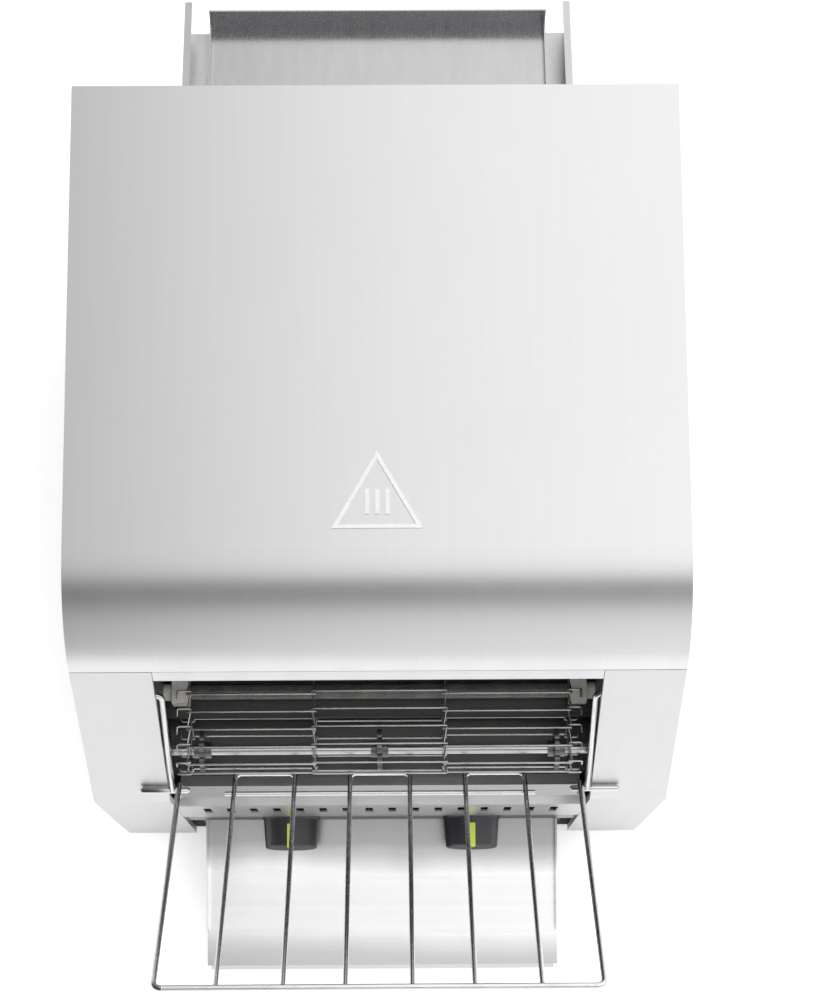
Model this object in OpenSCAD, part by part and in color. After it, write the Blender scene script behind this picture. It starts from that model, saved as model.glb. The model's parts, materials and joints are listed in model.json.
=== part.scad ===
// Countertop conveyor toaster with a wire mesh belt, a tilting wire feed rack, a front
// discharge tray and a rear tray. Millimetres, +X to the right seen from the front, +Y to
// the rear, +Z up, origin on the table under the middle of the whole outline.
// Inside the modules Y is measured back from the plane of the front columns.

/* [Body] */
// Width over the side panels
body_w = 368; // [350:1:400]
// Depth from the front columns to the back
body_d = 416; // [405:1:450]
// Height of the hood top above the table
body_h = 387; // [380:1:400]
// Height of the feet
foot_h = 17; // [12:1:25]
// Thickness of the steel sheet
sheet = 1.2; // [1:0.1:1.5]
// Width of each front column beside the opening
column_w = 49; // [46:1:56]
// Height where the front turns from upright to sloping
knee_z = 219; // [214:1:222]
// Slope of the front above that, from level
front_slope = 63.6; // [62:0.2:65]
// Outside radius of the hood's bend
bend_r = 74; // [70:1:78]
// Depth of the folded lips on the hood and front panels
lip = 14; // [10:1:18]

// Distance of the hood mark's centre behind the columns
mark_y = 156; // [140:1:300]
// Radius over the corners of the hood mark
mark_r = 31; // [20:1:36]
// Width of the mark's raised lines
mark_line = 2.4; // [1.2:0.1:2.5]

/* [Openings and fascia] */
// Height of the top of the slotted fascia
fascia_top = 191; // [186:1:194]
// Height of the bottom of the slotted fascia
fascia_low = 125; // [120:1:130]
// Number of ventilation slots
slot_count = 16; // [12:1:17]
// Width of a ventilation slot
slot_w = 5; // [3:0.5:6]
// Height of a ventilation slot
slot_h = 26; // [16:1:28]
// Plain sheet at each end of the row of slots
slot_margin = 20; // [12:1:30]
// Height of the strip under the seam, along the slope
header_h = 9; // [8:0.5:14]
// Depth of the entry ramp behind the fascia
ramp_d = 20; // [16:1:22]
// Bottom edge of the control panel
control_low = 76; // [72:1:82]
// Setback of the control panel behind the columns
control_set = 3; // [2:0.5:5]

/* [Belt] */
// Distance between neighbouring strands
belt_pitch = 11.2; // [11:0.1:11.6]
// Strands along each straight run
belt_run = 26; // [24:1:28]
// Size of the belt wire
belt_wire = 1.4; // [1.3:0.1:1.5]
// Gap between linked strands
belt_gap = 0.5; // [0.5:0.05:0.6]
// Half distance between the two inner rows of links
link_in_x = 40; // [34:1:50]
// Gap between the belt and the side of the opening
belt_side = 8; // [6:0.5:10]
// Length of the eye that ends each strand
end_eye = 6; // [5:0.5:7]
// Teeth on each sprocket
teeth = 8;
// Height of the two belt shafts
shaft_z = 250; // [248:1:252]
// Distance of the front shaft behind the column plane
shaft_y = 29; // [28:1:31]
// Diameter of the belt shafts
shaft_d = 6.4; // [6:0.4:8]
// Width of a sprocket
sprocket_w = 3; // [2:0.5:4]

/* [Heaters] */
// Heaters above the belt, and as many below the top run
heater_count = 3; // [2:1:3]
// Diameter of a quartz tube
tube_d = 10; // [8:0.5:10]
// Height of the upper heaters
heater_hi_z = 331; // [328:1:333]
// Distance of the first lower heater behind the column plane
heater_y = 66; // [64:1:72]
// Distance between heaters
heater_pitch = 112; // [100:1:114]

/* [Feed rack] */
// Length of the rack from its pivot
rack_len = 198; // [170:1:200]
// Slope of the rack above level
rack_deg = 48; // [46:0.5:52]
// Distance between the rack's side wires and the side of the opening
rack_side = 7.4; // [7.4:0.1:9]
// Distance between the legs of a loop
loop_w = 38; // [30:1:44]
// Wire of the rack frame
rack_wire = 3.6; // [3:0.1:3.8]
// Wire of the three loops
loop_wire = 3; // [2.4:0.1:3.2]
// Wire of the two rack arms
arm_wire = 4; // [3.6:0.1:4.2]
// Pivot height of the rack
pivot_z = 235; // [233:1:237]

/* [Front and rear trays] */
// Gap between the front tray and the side of the opening
tray_side = 11; // [8:1:16]
// Height of the crumb tray's walls
crumb_h = 10; // [8:1:11]
// Reach of the front tray ahead of the columns
tray_reach = 98; // [80:1:105]
// Slope of the front tray
tray_deg = 8; // [6:0.5:9]
// Height of the front tray under the column plane
tray_z = 57; // [54:1:60]
// Height of the tray's side walls
tray_wall = 11; // [8:1:13]
// Reach of the rear chute behind the body
chute_reach = 161.5; // [120:1:165]
// Slope of the rear chute
chute_deg = 12; // [10:0.5:14]
// Height of the chute's rails at their rear end
chute_z = 165; // [160:1:170]
// Height of the chute's side rails
rail_h = 27; // [24:1:30]
// Height of the lip at the end of the rear tray
tray_lip = 18; // [14:1:20]

/* [Knobs] */
// Distance of each knob from the middle
knob_x = 62.5; // [50:0.5:70]
// Height of the knobs
knob_z = 97; // [96:0.5:100]
// Diameter of a knob at its foot
knob_d = 40; // [36:0.5:44]
// Diameter of a knob at its face
knob_face_d = 35.5; // [30:0.5:36]
// Width of the pointer strip on a knob
pointer_w = 4.2; // [3:0.1:6]
// Length of a knob
knob_len = 22; // [18:0.5:24]

/* [Hidden] */

steel = [0.80, 0.80, 0.81];
dark_steel = [0.45, 0.45, 0.46];
fit = 0.3;                        // gap between pieces that meet
running = 0.05;                   // radial clearance of a turning shaft
half_w = body_w / 2;
open_half = half_w - column_w;    // half width of the front opening
belt_half = open_half - belt_side;
link_out_x = belt_half - end_eye; // outer row of links
tray_w = 2 * (open_half - tray_side);
rack_half = open_half - rack_side;
slot_pitch = 2 * (open_half - slot_margin) / (slot_count - 1);
slope = front_slope;
seam_z = body_h - bend_r * (1 - cos(slope));
seam_y = (seam_z - knee_z) / tan(slope);
bend_y = seam_y + bend_r * sin(slope);
bend_z = body_h - bend_r;
wall_x = open_half + sheet + fit; // inner face of an inner wall
wall_out = wall_x + sheet;
flange = 3;                       // return flange of a front panel along the opening
wall_inset = sheet + flange + fit;
side_out = half_w - sheet - fit;  // outer face of a side panel
side_in = side_out - sheet;
base_top = foot_h + sheet;
back_out = body_d - sheet - fit;  // rear face of the back panel
back_in = back_out - sheet;
inner_rear = back_in - fit;
wall_top = seam_z - 2;
span = wall_x - fit;              // half width of pieces held between the inner walls
front_span = open_half - fit;     // half width of pieces held between the front panels

rear_shaft_y = shaft_y + belt_run * belt_pitch;
pitch_r = belt_pitch / 2 / sin(180 / teeth);
turn = 360 / teeth;
link_step = belt_wire + belt_gap;
link_reach = belt_pitch + link_step;
link_flare = belt_wire + 1;    // clears the next strand's posts where the belt turns
strands = 2 * belt_run + teeth;
belt_top = shaft_z + pitch_r;
tip_r = pitch_r - belt_wire / sqrt(2) - fit;   // the teeth stop under the wires, because the belt is fixed here
side_sprocket_x = link_out_x - link_flare - belt_wire - sprocket_w / 2 - 4;   // its hub clears the legs
bush_d = 12;
bush_flange_d = 14;
shaft_end = wall_out + 3;

heater_lo_z = shaft_z + 1;
heater_hi_y = heater_y + 38;      // the upper heaters stand between the lower ones
cap_w = 11;
cap_d = 16;
cap_h = 14;
cap_x = span - 5;                 // outer face of a cap's block
neck_d = 11;

slope_out = [-sin(slope), cos(slope)];
pivot_y = (pivot_z - knee_z) / tan(slope) - (arm_wire / 2 + fit) / sin(slope);
arm_x = open_half - arm_wire / 2 - 0.8;
hook_z = pivot_z + 78;
hook_y = (hook_z - knee_z) / tan(slope) + 6.7 / sin(slope);
pin_in = 122.5;
pin_out = 151;
curl_r = arm_wire / 2 + rack_wire / 2 + fit;
corner_r = 5;
loop_gap = (2 * rack_half - 3 * loop_w) / 4;
loops = [for (i = [-1 : 1]) [i * (loop_w + loop_gap) - loop_w / 2, i * (loop_w + loop_gap) + loop_w / 2]];

chute_half = open_half + 2;
rear_y = body_d + chute_reach;
rack_front = pivot_y - rack_len * cos(rack_deg) - rack_wire / 2 + curl_r * sin(rack_deg);
front_y = -(rack_front + rear_y) / 2;

spindle_d = 6;
motor_x = wall_out + 6;
fan_size = 40;
fan_d = 15;
fan_x = wall_out + fit + fan_size / 2;
fan_z = 75;
gland_x = -(wall_out + side_in) / 2;
gland_z = 48;
foot_in = 36;                     // from the sides, the front and the back
foot_x = half_w - foot_in;
mouth_low = 170;
mouth_h = 62;
screw_in = 9;

// ---------- helpers ----------
// The body stands behind the feed rack, so every piece is moved with it
module place() translate([0, front_y, 0]) children();

// Outline in the YZ plane pushed along X
module along_x(x0, x1) translate([x0, 0, 0]) rotate([90, 0, 90]) linear_extrude(x1 - x0) children();

module both_sides() for (s = [0, 1]) mirror([s, 0, 0]) children();

function seam(t) = [seam_y + t * sin(slope), seam_z - t * cos(slope)];
function knee(t) = [t, knee_z - t * tan((90 - slope) / 2)];

// Side outline of the body, inset by t all along its front and top
module outline(t, rear = body_d, low = foot_h) {
    polygon([knee(t), seam(t), [bend_y, bend_z], [bend_y, body_h - t], [rear, body_h - t],
        [rear, low], [t, low]]);
    intersection() {
        translate([bend_y, bend_z]) circle(r = bend_r - t, $fn = 128);
        polygon([[bend_y, bend_z], [bend_y, body_h + 9], [bend_y - 2 * bend_r, body_h + 9], seam(-bend_r)]);
    }
}

// Band along the outline between two insets
module band(t0, t1, rear = body_d) difference() {
    outline(t0, rear);
    outline(t1, rear + 1, foot_h - 1);
}

// Everything above (side 1) or below (side -1) the seam
module seam_side(side, gap) {
    far = side > 0 ? body_h + 20 : -20;
    shift = [gap * cos(slope), gap * sin(slope)] * side;
    polygon([seam(-30) + shift, seam(60) + shift, [side > 0 ? body_d + 20 : seam_y + 60, seam(60).y + shift.y],
        [side > 0 ? body_d + 20 : seam_y + 60, far], [-60, far], [-60, seam(-30).y + shift.y]]);
}

// Straight round wire between two points
module rod(a, b, d) {
    v = b - a;
    l = norm(v);
    translate(a) rotate([0, acos(v.z / l), atan2(v.y, v.x)]) cylinder(d = d, h = l, $fn = 32);
}

// Bead over a joint between two wires of diameter d
module ball(p, d) translate(p) sphere(d = d + 0.1, $fn = 32);

// Round wire through a list of points, with rounded corners
module wire(pts, d) {
    for (i = [0 : len(pts) - 2]) rod(pts[i], pts[i + 1], d);
    for (i = [1 : 1 : len(pts) - 2]) ball(pts[i], d);
}

// ---------- casing ----------
// Raised mark on the hood: a plain triangle frame with three ribs, its point to the rear
module hood_mark() translate([0, mark_y, body_h - 0.01]) rotate([0, 0, 90]) linear_extrude(0.8) {
    difference() {
        circle(r = mark_r, $fn = 3);
        circle(r = mark_r - 2 * mark_line, $fn = 3);
    }
    for (x = [-6, 0, 6]) translate([-7, x - mark_line / 2]) square([15, mark_line]);
}

module hood() color(steel) place() {
    along_x(-half_w, half_w) intersection() {
        band(0, sheet);
        seam_side(1, 0);
    }
    both_sides() along_x(half_w - sheet, half_w) intersection() {
        band(0, lip);
        seam_side(1, 0);
    }
    translate([-half_w, body_d - sheet, body_h - lip - 6]) cube([body_w, sheet, lip + 6]);
    hood_mark();
}

module side_panel() place() difference() {
    union() {
        along_x(side_in, side_out) outline(sheet + fit, inner_rear);
        along_x(side_in - 12, side_in) intersection() {
            band(sheet + fit, 2 * sheet + fit, inner_rear);
            translate([bend_y, body_h - 20]) square([inner_rear - bend_y, 30]);
        }
        translate([side_in - 12, inner_rear - sheet, fan_z + 30]) cube([12, sheet, body_h - fan_z - 60]);
    }
    for (i = [0 : 11]) translate([side_in - 1, 150 + i * 14, 50]) cube([sheet + 2, 4, 34]);
}

module side_panel_right() color(steel) side_panel();
module side_panel_left() color(steel) mirror([1, 0, 0]) side_panel();

module front_panel() place() {
    along_x(open_half, half_w) intersection() {
        band(0, sheet);
        seam_side(-1, 0.5);
    }
    along_x(open_half, open_half + sheet) intersection() {
        band(0, sheet + flange);
        seam_side(-1, 0.5);
    }
    along_x(half_w - sheet, half_w) intersection() {
        band(0, lip);
        seam_side(-1, 0.5);
    }
}

module front_panel_right() color(steel) front_panel();
module front_panel_left() color(steel) mirror([1, 0, 0]) front_panel();

module back_panel() color(steel) place() difference() {
    translate([-side_out, back_in, foot_h]) cube([2 * side_out, sheet, body_h - foot_h - sheet - fit]);
    // mouth for the rear chute
    translate([-open_half, back_in - 1, mouth_low]) cube([2 * open_half, sheet + 2, mouth_h]);
    // fan grille
    for (i = [-3 : 3]) translate([fan_x + i * 5 - 1.5, back_in - 1, fan_z - 15]) cube([3, sheet + 2, 30]);
    // upper vents
    for (i = [0 : 13]) translate([(i / 6.5 - 1) * (open_half - 26) - 4.5, back_in - 1, 300]) cube([9, sheet + 2, 4]);
    translate([gland_x, back_in - 1, gland_z]) rotate([-90, 0, 0]) cylinder(d = 16.4, h = sheet + 2, $fn = 48);
}

module base_plate() color(dark_steel) place() difference() {
    translate([-side_in + fit, wall_inset, foot_h]) cube([2 * (side_in - fit), inner_rear - wall_inset, sheet]);
    for (s = [-1, 1], i = [0 : 7]) translate([s * (wall_out + side_in) / 2 - 12, 120 + i * 18, foot_h - 1]) cube([24, 5, sheet + 2]);
}

module feet() color("black") place() for (x = [-foot_x, foot_x], y = [foot_in, body_d - foot_in])
    translate([x, y, 0]) rotate_extrude($fn = 48) polygon([[0, 0], [12, 0], [13, 1], [15, foot_h], [0, foot_h]]);

module inner_wall() place() difference() {
    t = sheet + fit;
    along_x(wall_x, wall_out) polygon([knee(t), knee(t) + (wall_top - knee(t).y) * [1 / tan(slope), 1],
        [inner_rear - fit, wall_top], [inner_rear - fit, base_top + fit], [t, base_top + fit]]);
    for (y = [shaft_y, rear_shaft_y]) translate([wall_x - 1, y, shaft_z]) rotate([0, 90, 0])
        cylinder(d = bush_d + 0.1, h = sheet + 2, $fn = 48);
    for (h = heater_spots) translate([wall_x - 1, h.x, h.y]) rotate([0, 90, 0])
        cylinder(d = neck_d + 0.6, h = sheet + 2, $fn = 48);
    translate([wall_x - 1, hook_y, hook_z]) rotate([0, 90, 0]) cylinder(d = arm_wire + 0.8, h = sheet + 2, $fn = 32);
}

heater_spots = concat([for (i = [0 : heater_count - 1]) [heater_y + i * heater_pitch, heater_lo_z]],
    [for (i = [0 : heater_count - 1]) [heater_hi_y + i * heater_pitch, heater_hi_z]]);

module inner_wall_right() color(dark_steel) inner_wall();
module inner_wall_left() color(dark_steel) mirror([1, 0, 0]) inner_wall();

// Point on the sloping front, s below the seam and t under its surface
function on_slope(s, t) = seam(t) - s * [cos(slope), sin(slope)];

// Folded strip that closes the front under the hood's edge
module header() color(steel) place() along_x(-front_span, front_span) {
    low = on_slope(header_h, 0);
    polygon([on_slope(fit - 0.05, 0), low, low + [14, 0], low + [14, sheet],
        on_slope(header_h - sheet * (1 + cos(slope)) / sin(slope), sheet), on_slope(fit - 0.05, sheet)]);
}

module front_fascia() color(steel) place() difference() {
    union() {
        translate([-front_span, 0, fascia_low]) cube([2 * front_span, sheet, fascia_top - fascia_low]);
        translate([-front_span, 0, fascia_top - sheet]) cube([2 * front_span, 6, sheet]);
        translate([-front_span, 0, fascia_low]) cube([2 * front_span, control_set + sheet, sheet]);
    }
    for (i = [0 : slot_count - 1])
        translate([(i - (slot_count - 1) / 2) * slot_pitch - slot_w / 2, -1, 150]) cube([slot_w, sheet + 2, slot_h]);
}

// Bent ramp that lies on the fascia's top flange and rises towards the belt
module entry_ramp() color(steel) place() {
    z = fascia_top + 0.05;
    along_x(-front_span + 4, front_span - 4) polygon([[0.4, z], [6.2, z], [12.5, z + 3.6], [ramp_d - sheet, z + 2.2],
        [ramp_d - sheet, z - 12], [ramp_d, z - 12], [ramp_d, z + 3.2], [12.5, z + 4.8], [5.9, z + sheet],
        [0.4, z + sheet]]);
}

module control_panel() color(dark_steel) place() difference() {
    union() {
        translate([-front_span, control_set, control_low]) cube([2 * front_span, sheet, fascia_low - control_low - fit]);
        translate([-front_span, control_set, control_low]) cube([2 * front_span, 12, sheet]);
    }
    for (x = [-knob_x, knob_x]) translate([x, control_set - 1, knob_z]) rotate([-90, 0, 0])
        cylinder(d = 10.4, h = sheet + 2, $fn = 32);
}

// Sheet hood behind the fascia that keeps heat and crumbs off the controls
module control_box() color(dark_steel) place() along_x(-span, span) {
    y0 = ramp_d + fit;
    y1 = 66;
    polygon([[y0, 176], [y0, 212], [y1, 212], [y1, 98], [y1 - sheet, 98], [y1 - sheet, 212 - sheet],
        [y0 + sheet, 212 - sheet], [y0 + sheet, 176]]);
}

// ---------- controls ----------
// Turned knob with a groove for the pointer strip, its axis towards the user
module knob(x) place() translate([x, control_set - fit, knob_z]) rotate([90, 0, 0]) difference() {
    rotate_extrude($fn = 96) polygon([[0, 0], [knob_d / 2, 0], [knob_d / 2, 1.6], [knob_d / 2 - 0.8, 2.4],
        [knob_face_d / 2, knob_len - 1], [knob_face_d / 2 - 1, knob_len], [0, knob_len]]);
    translate([-pointer_w / 2 - 0.1, knob_face_d / 2 - 9, 6.6]) cube([pointer_w + 0.2, 20, knob_len]);
    translate([0, 0, -1]) cylinder(d = spindle_d + 0.1, h = 13, $fn = 32);
}

module knob_left() color([0.2, 0.2, 0.21]) knob(-knob_x);
module knob_right() color([0.2, 0.2, 0.21]) knob(knob_x);

// Strip that fills the groove, a little proud of the knob's side and face
module pointer(x) place() translate([x, control_set - fit, knob_z]) rotate([90, 0, 0])
    along_x(-pointer_w / 2, pointer_w / 2)
        polygon([[knob_face_d / 2 - 8.9, 6.7], [knob_d / 2 - 0.8, 6.7], [knob_face_d / 2 + 0.5, knob_len - 0.8],
            [knob_face_d / 2 - 0.6, knob_len + 0.6], [knob_face_d / 2 - 8.9, knob_len + 0.6]]);

module pointer_left() color([0.66, 0.74, 0.16]) pointer(-knob_x);
module pointer_right() color([0.66, 0.74, 0.16]) pointer(knob_x);

module spindle(x) place() translate([x, control_set + 14, knob_z]) rotate([90, 0, 0])
    cylinder(d = spindle_d, h = 14 + fit + 11.6, $fn = 32);

module spindle_left() color("silver") spindle(-knob_x);
module spindle_right() color("silver") spindle(knob_x);

// Body of a rotary control, with a threaded neck through the panel
module control_body(x, w, d, h) place() translate([x, control_set + sheet, knob_z]) difference() {
    union() {
        translate([-w / 2, 0, -h / 2]) cube([w, d, h]);
        rotate([90, 0, 0]) cylinder(d = 9.8, h = sheet, $fn = 32);
    }
    translate([0, 16, 0]) rotate([90, 0, 0]) cylinder(r = spindle_d / 2 + running, h = 30, $fn = 32);
}

module selector_switch() color("black") {
    control_body(-knob_x, 40, 30, 34);
    place() for (i = [-1 : 1], k = [-1, 1]) translate([-knob_x + i * 12 - 2.4, control_set + sheet + 30, knob_z + k * 9])
        cube([4.8, 7, 0.8]);
}

module speed_control() color("dimgray") {
    control_body(knob_x, 30, 18, 30);
    place() for (i = [-1 : 1]) translate([knob_x + i * 8 - 1.5, control_set + sheet + 18, knob_z - 8]) cube([3, 6, 0.8]);
}

// ---------- heating ----------
module upper_reflector() color("silver") place() {
    front_edge = seam_y + 16;
    rear_edge = inner_rear - 10;
    lo = heater_hi_z;
    hi = heater_hi_z + cap_h / 2 + 2;
    along_x(-span, span)
    polygon([[front_edge, lo], [front_edge + 10, hi], [rear_edge - 6, hi], [rear_edge, lo], [rear_edge + 1.2, lo],
        [rear_edge - 5.4, hi + 1], [front_edge + 9.4, hi + 1], [front_edge - 1.2, lo]]);
}

module lower_reflector() color("silver") place() along_x(-span, span) {
    y0 = shaft_y + pitch_r + 7;
    y1 = rear_shaft_y - pitch_r - 7;
    z = shaft_z - pitch_r + link_step + belt_wire + 0.1;   // close over the belt's return run
    polygon([[y0, z + 3.4], [y0, z], [y1, z], [y1, z + 3.4], [y1 - 0.8, z + 3.4], [y1 - 0.8, z + 0.8], [y0 + 0.8, z + 0.8],
        [y0 + 0.8, z + 3.4]]);
}

module tubes(spots) color([0.92, 0.90, 0.86]) place() for (h = spots) translate([-cap_x + cap_w - 5, h.x, h.y])
    rotate([0, 90, 0]) difference() {
        cylinder(d = tube_d, h = 2 * (cap_x - cap_w + 5), $fn = 32);
        translate([0, 0, -1]) cylinder(d = tube_d - 2.4, h = 2 * cap_x, $fn = 32);
    }

module lower_tubes() tubes([for (i = [0 : heater_count - 1]) heater_spots[i]]);
module upper_tubes() tubes([for (i = [0 : heater_count - 1]) heater_spots[heater_count + i]]);

// Heating wire in each tube, drawn as the rod that its fine coil fills
module heater_coils() color("orangered") place() for (h = heater_spots)
    translate([-cap_x + cap_w - 6, h.x, h.y]) rotate([0, 90, 0]) cylinder(d = tube_d - 3, h = 2 * (cap_x - cap_w + 6), $fn = 24);

// Ceramic block and neck at both ends of every tube
module ceramic_caps() color([0.85, 0.84, 0.80]) place() for (h = heater_spots) both_sides() difference() {
    union() {
        translate([cap_x - cap_w, h.x - cap_d / 2, h.y - cap_h / 2]) cube([cap_w, cap_d, cap_h]);
        translate([cap_x - 1, h.x, h.y]) rotate([0, 90, 0]) cylinder(d = neck_d, h = wall_out - cap_x + 5, $fn = 32);
    }
    translate([cap_x - cap_w - 1, h.x, h.y]) rotate([0, 90, 0]) cylinder(d = tube_d + 0.2, h = 7, $fn = 32);
}

// ---------- mesh belt ----------
// Place of strand k round the loop: distance from the front shaft, height over the shafts, heading
function station(k) =
    let (half_turn = belt_run + teeth / 2, a = (k - belt_run) * turn, b = (k - belt_run - half_turn) * turn)
    k < belt_run ? [k * belt_pitch, pitch_r, 0] :
    k < half_turn ? [belt_run * belt_pitch + pitch_r * sin(a), pitch_r * cos(a), -a - turn / 2] :
    k < belt_run + half_turn ? [(belt_run - (k - half_turn)) * belt_pitch, -pitch_r, 180] :
    [-pitch_r * sin(b), -pitch_r * cos(b), 180 - b - turn / 2];

// Flat length of wire, drawn as its plan outline
module flat_wire(pts, level) translate([0, 0, level - belt_wire / 2]) linear_extrude(belt_wire) polygon(pts);

// One strand: outer rungs at its own station, a middle rung and two end eyes that reach past the
// next strand, and four legs that pass under it
module strand() {
    h = belt_wire / 2;
    middle = link_in_x + link_flare;
    end_leg = link_out_x - link_flare;
    flat_wire([[-middle - h, link_reach - h], [middle + h, link_reach - h], [middle + h, link_reach + h],
        [-middle - h, link_reach + h]], 0);
    for (s = [-1, 1]) {
        flat_wire([[s * (link_in_x - h), -h], [s * (link_out_x + h), -h], [s * (link_out_x + h), h],
            [s * (link_in_x - h), h]], 0);
        flat_wire([[s * (end_leg - h), link_reach + h], [s * (belt_half + h), link_reach + h],
            [s * (belt_half + h), link_reach - 5], [s * (belt_half - h), link_reach - 5],
            [s * (belt_half - h), link_reach - h], [s * (end_leg - h), link_reach - h]], 0);
        for (leg = [[link_in_x, middle], [link_out_x, end_leg]]) {
            flat_wire([[s * (leg[0] - h), -h], [s * (leg[0] + h), -h], [s * (leg[1] + h), link_reach + h],
                [s * (leg[1] - h), link_reach + h]], -link_step);
            for (post = [[leg[0], 0], [leg[1], link_reach]]) translate([s * post[0], post[1], -link_step / 2])
                cube([belt_wire, belt_wire, link_step + belt_wire], center = true);
        }
    }
}

module mesh_belt() color("silver") place() translate([0, shaft_y, shaft_z])
    for (k = [0 : strands - 1]) translate([0, station(k)[0], station(k)[1]]) rotate([station(k)[2], 0, 0]) strand();

// Toothed disc with its hub; lead turns the tooth tops to stand under the rungs
module sprocket(x, lead) translate([x, 0, 0]) rotate([90, 0, 90]) difference() {
    union() {
        linear_extrude(sprocket_w) difference() {
            circle(r = tip_r, $fn = 96);
            for (i = [0 : teeth - 1]) rotate((i + 0.5) * turn - lead) translate([0, tip_r + 0.3]) circle(r = 2.4, $fn = 32);
        }
        translate([0, 0, -4]) cylinder(d = shaft_d + 4, h = sprocket_w + 8, $fn = 32);
    }
    translate([0, 0, -9]) cylinder(d = shaft_d + 0.02, h = sprocket_w + 18, $fn = 48);
}

// Set screw in the hub of the middle sprocket
module set_screw() translate([sprocket_w / 2 + 2, 0, shaft_d / 2 + 1]) cylinder(d = 2.4, h = 2.6, $fn = 24);

module sprocket_set() {
    for (x = [-side_sprocket_x, side_sprocket_x]) sprocket(x - sprocket_w / 2, 0);
    sprocket(-sprocket_w / 2, atan(link_step / pitch_r));
    set_screw();
}

module front_sprockets() color("gray") place() translate([0, shaft_y, shaft_z]) sprocket_set();
module rear_sprockets() color("gray") place() translate([0, rear_shaft_y, shaft_z]) sprocket_set();

module front_shaft() color("silver") place() translate([-shaft_end, shaft_y, shaft_z]) rotate([0, 90, 0])
    cylinder(d = shaft_d, h = 2 * shaft_end, $fn = 48);

module drive_shaft() color("silver") place() translate([-shaft_end, rear_shaft_y, shaft_z]) rotate([0, 90, 0])
    cylinder(d = shaft_d, h = shaft_end + motor_x - 1, $fn = 48);

module shaft_bushes() color("peru") place() both_sides() for (y = [shaft_y, rear_shaft_y])
    translate([wall_x - 2.5, y, shaft_z]) rotate([0, 90, 0]) difference() {
        union() {
            cylinder(d = bush_flange_d, h = 2.5, $fn = 48);
            cylinder(d = bush_d, h = 2.5 + sheet + 1.5, $fn = 48);
        }
        translate([0, 0, -1]) cylinder(d = shaft_d + 2 * running, h = 9, $fn = 48);
    }

module shaft_coupling() color("gray") place() translate([wall_out + 2, rear_shaft_y, shaft_z]) rotate([0, 90, 0])
    difference() {
        cylinder(d = shaft_d + 6, h = 3.6, $fn = 48);
        translate([0, 0, -1]) cylinder(d = shaft_d + 0.02, h = 6, $fn = 48);
    }

// Gear motor with its stand-off feet on the inner wall
module gear_motor() color([0.3, 0.3, 0.32]) place() translate([motor_x, rear_shaft_y, shaft_z]) {
    translate([0, -30, -36]) cube([14, 60, 60]);
    translate([14, 0, -8]) rotate([0, 90, 0]) cylinder(d = 50, h = side_in - fit - motor_x - 14, $fn = 64);
    for (y = [-24, 24], z = [-30, 18]) translate([wall_out - motor_x, y, z]) rotate([0, 90, 0])
        cylinder(d = 7, h = motor_x - wall_out + 1, $fn = 24);
}

// ---------- feed rack ----------
// Arm: hooked into the inner wall at its top, with the pivot pin across its foot
module rack_arm() place() {
    wire([[wall_out + 4, hook_y, hook_z], [arm_x, hook_y, hook_z], [arm_x, pivot_y, pivot_z]], arm_wire);
    rod([pin_in, pivot_y, pivot_z], [pin_out, pivot_y, pivot_z], arm_wire);
}

module rack_arm_right() color("silver") rack_arm();
module rack_arm_left() color("silver") mirror([1, 0, 0]) rack_arm();

// In the rack's own frame x is across, y runs out along the slope from the pivot, z is square to it
module feed_rack() color("silver") place() translate([0, pivot_y, pivot_z]) rotate([-rack_deg, 0, 0]) mirror([0, 1, 0]) {
    both_sides() {
        // curl round the pivot pin, a little thinner where the wire is drawn round it
        translate([rack_half, 0, 0]) rotate([0, 90, 0])
            rotate_extrude($fn = 48) translate([curl_r, 0]) circle(d = rack_wire - 0.4, $fn = 24);
        rod([rack_half, 0, curl_r], [rack_half, rack_len - corner_r, curl_r], rack_wire);
        translate([rack_half - corner_r, rack_len - corner_r, curl_r])
            rotate_extrude(angle = 90, $fn = 48) translate([corner_r, 0]) circle(d = rack_wire, $fn = 24);
        ball([rack_half, rack_len - corner_r, curl_r], rack_wire);
        ball([rack_half - corner_r, rack_len, curl_r], rack_wire);
    }
    rod([-rack_half + corner_r, rack_len, curl_r], [rack_half - corner_r, rack_len, curl_r], rack_wire);
    for (pair = loops) wire([[pair[0], rack_len, curl_r], [pair[0], -9, curl_r], [pair[0] + 3, -12, curl_r],
        [pair[1] - 3, -12, curl_r], [pair[1], -9, curl_r], [pair[1], rack_len, curl_r]], loop_wire);
    cross = rack_half - 29;
    rod([-cross, 6, curl_r - loop_wire + 0.2], [cross, 6, curl_r - loop_wire + 0.2], loop_wire);
}

// ---------- slides and trays ----------
// Long slide that takes the toast from the back of the belt to the front tray
module discharge_slide() color(steel) place() along_x(-span, span) {
    y0 = 72;
    y1 = inner_rear - 8;
    z0 = tray_z + 12;
    z1 = chute_z + rail_h - 8;
    polygon([[y0, z0], [y1 - 30, z1 - 26], [y1, z1], [y1, z1 + sheet * 1.3], [y1 - 30, z1 - 26 + sheet * 1.3], [y0, z0 + sheet]]);
}

module front_tray() color(steel) place() translate([0, 0, tray_z]) rotate([tray_deg, 0, 0]) {
    half = tray_w / 2;
    wall_end = -tray_reach + 24;
    translate([-half, -tray_reach, 0]) cube([tray_w, tray_reach + 66, sheet]);
    along_x(-half + 2.5, half - 2.5) translate([-tray_reach, 0])
        polygon([[0, sheet], [-3, -1.4], [-3, -4.6], [sheet - 3, -4.6], [sheet - 3, -1.9], [0.4, 0], [0.4, sheet]]);
    both_sides() along_x(half - sheet, half)
        polygon([[wall_end, 0], [66, 0], [66, tray_wall], [wall_end + 8, tray_wall], [wall_end + 2, tray_wall - 4], [wall_end, tray_wall - 8]]);
}

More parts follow.
